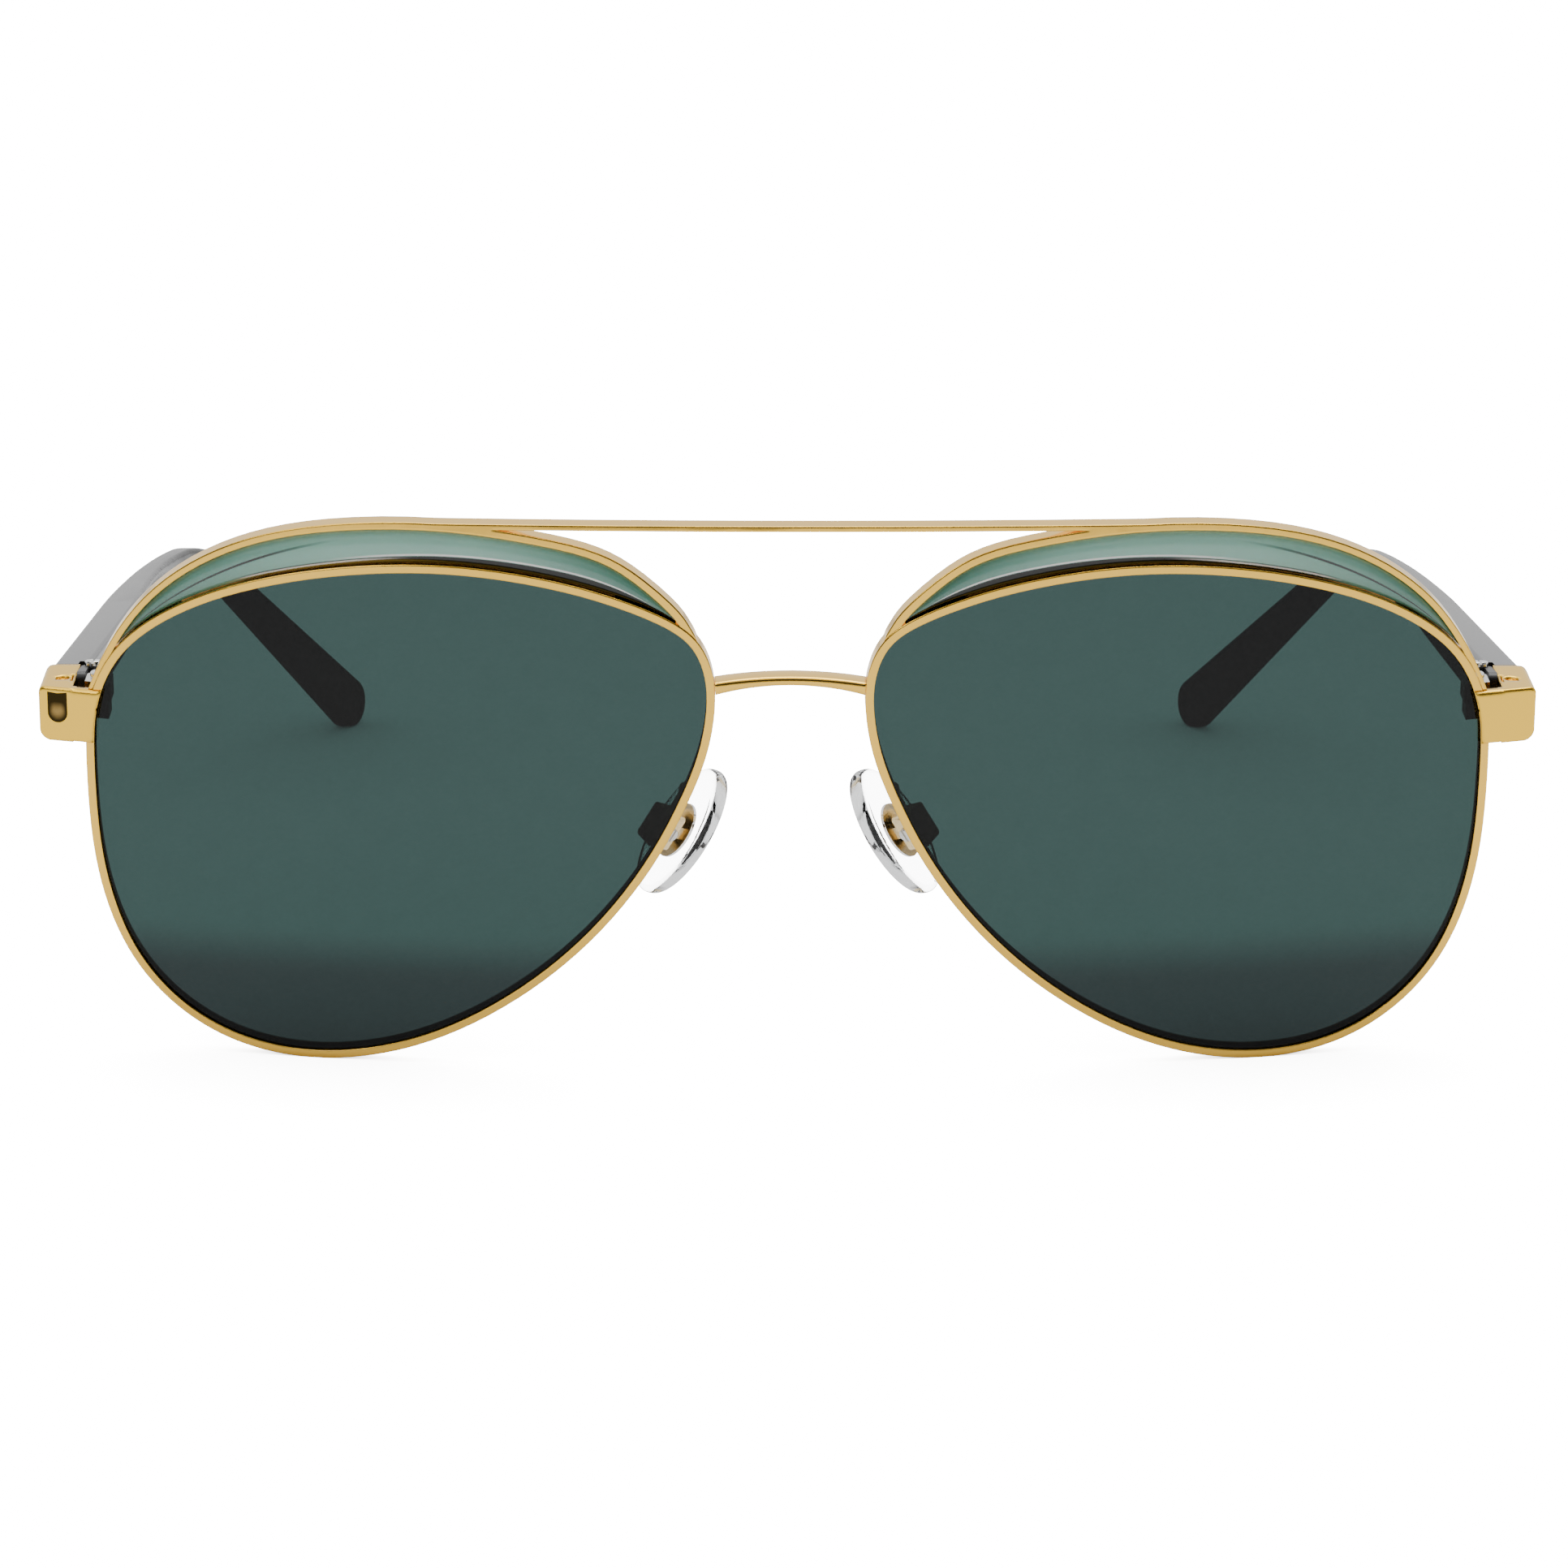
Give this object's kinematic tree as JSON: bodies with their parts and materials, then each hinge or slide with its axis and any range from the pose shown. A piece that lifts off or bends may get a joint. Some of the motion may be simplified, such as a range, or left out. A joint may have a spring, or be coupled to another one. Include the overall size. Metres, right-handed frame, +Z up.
{
  "type": "sunglasses",
  "caption": "Aviator sunglasses: gold wire rims with tinted lenses, a top bar over an arched bridge, translucent brow inserts, clear rocking nose pads and folding dark temples.",
  "frame": {"origin": "centre of the outline on the table, at table height", "axes": "+Z up, the lenses look along -Y, +X to the wearer's left; the temples run along +Y"},
  "size_m": [0.143, 0.149, 0.0544],
  "materials": {
    "gold": "polished pale gold plating",
    "lens": "polished, grey-green tint",
    "insert": "glossy, pale green, translucent",
    "temple": "polished black",
    "pad": "clear, soft",
    "steel": "turned, bright",
    "hinge": "black, satin"
  },
  "bodies": {
    "front": {"brow_bar": "gold", "bridge": "gold", "left_rim": "gold", "right_rim": "gold", "left_lens": "lens", "right_lens": "lens", "left_brow_insert": "insert", "right_brow_insert": "insert", "left_endpiece": "gold", "right_endpiece": "gold", "left_endpiece_screw": "gold", "right_endpiece_screw": "gold", "left_rim_lock_upper": "steel", "right_rim_lock_upper": "steel", "left_rim_lock_lower": "steel", "right_rim_lock_lower": "steel", "left_rim_lock_screw": "steel", "right_rim_lock_screw": "steel", "left_pad_arm": "gold", "right_pad_arm": "gold", "left_pad_box": "gold", "right_pad_box": "gold", "left_pad_screw": "steel", "right_pad_screw": "steel", "left_front_hinge": "hinge", "right_front_hinge": "hinge", "left_hinge_screw": "steel", "right_hinge_screw": "steel"},
    "left_arm": {"left_temple": "temple", "left_temple_core": "steel", "left_temple_hinge": "hinge"},
    "right_arm": {"right_temple": "temple", "right_temple_core": "steel", "right_temple_hinge": "hinge"},
    "left_pad": {"left_nose_pad": "pad", "left_pad_core": "gold"},
    "right_pad": {"right_nose_pad": "pad", "right_pad_core": "gold"}
  },
  "joints": [
    {"name": "left_fold", "type": "hinge", "parent": "front", "child": "left_arm", "pos_m": [0.067, -0.05686, 0.03479], "axis": [0, 0.0754, 0.9972], "range_deg": [0, 82]},
    {"name": "right_fold", "type": "hinge", "parent": "front", "child": "right_arm", "pos_m": [-0.067, -0.05686, 0.03479], "axis": [0, -0.0754, -0.9972], "range_deg": [0, 72]},
    {"name": "left_pad_rock", "type": "hinge", "parent": "front", "child": "left_pad", "pos_m": [0.01199, -0.06628, 0.0234], "axis": [0.5277, 0.7574, 0.3846], "range_deg": [-8, 8]},
    {"name": "right_pad_rock", "type": "hinge", "parent": "front", "child": "right_pad", "pos_m": [-0.01199, -0.06628, 0.0234], "axis": [-0.5277, 0.7574, 0.3846], "range_deg": [-8, 8]}
  ]
}
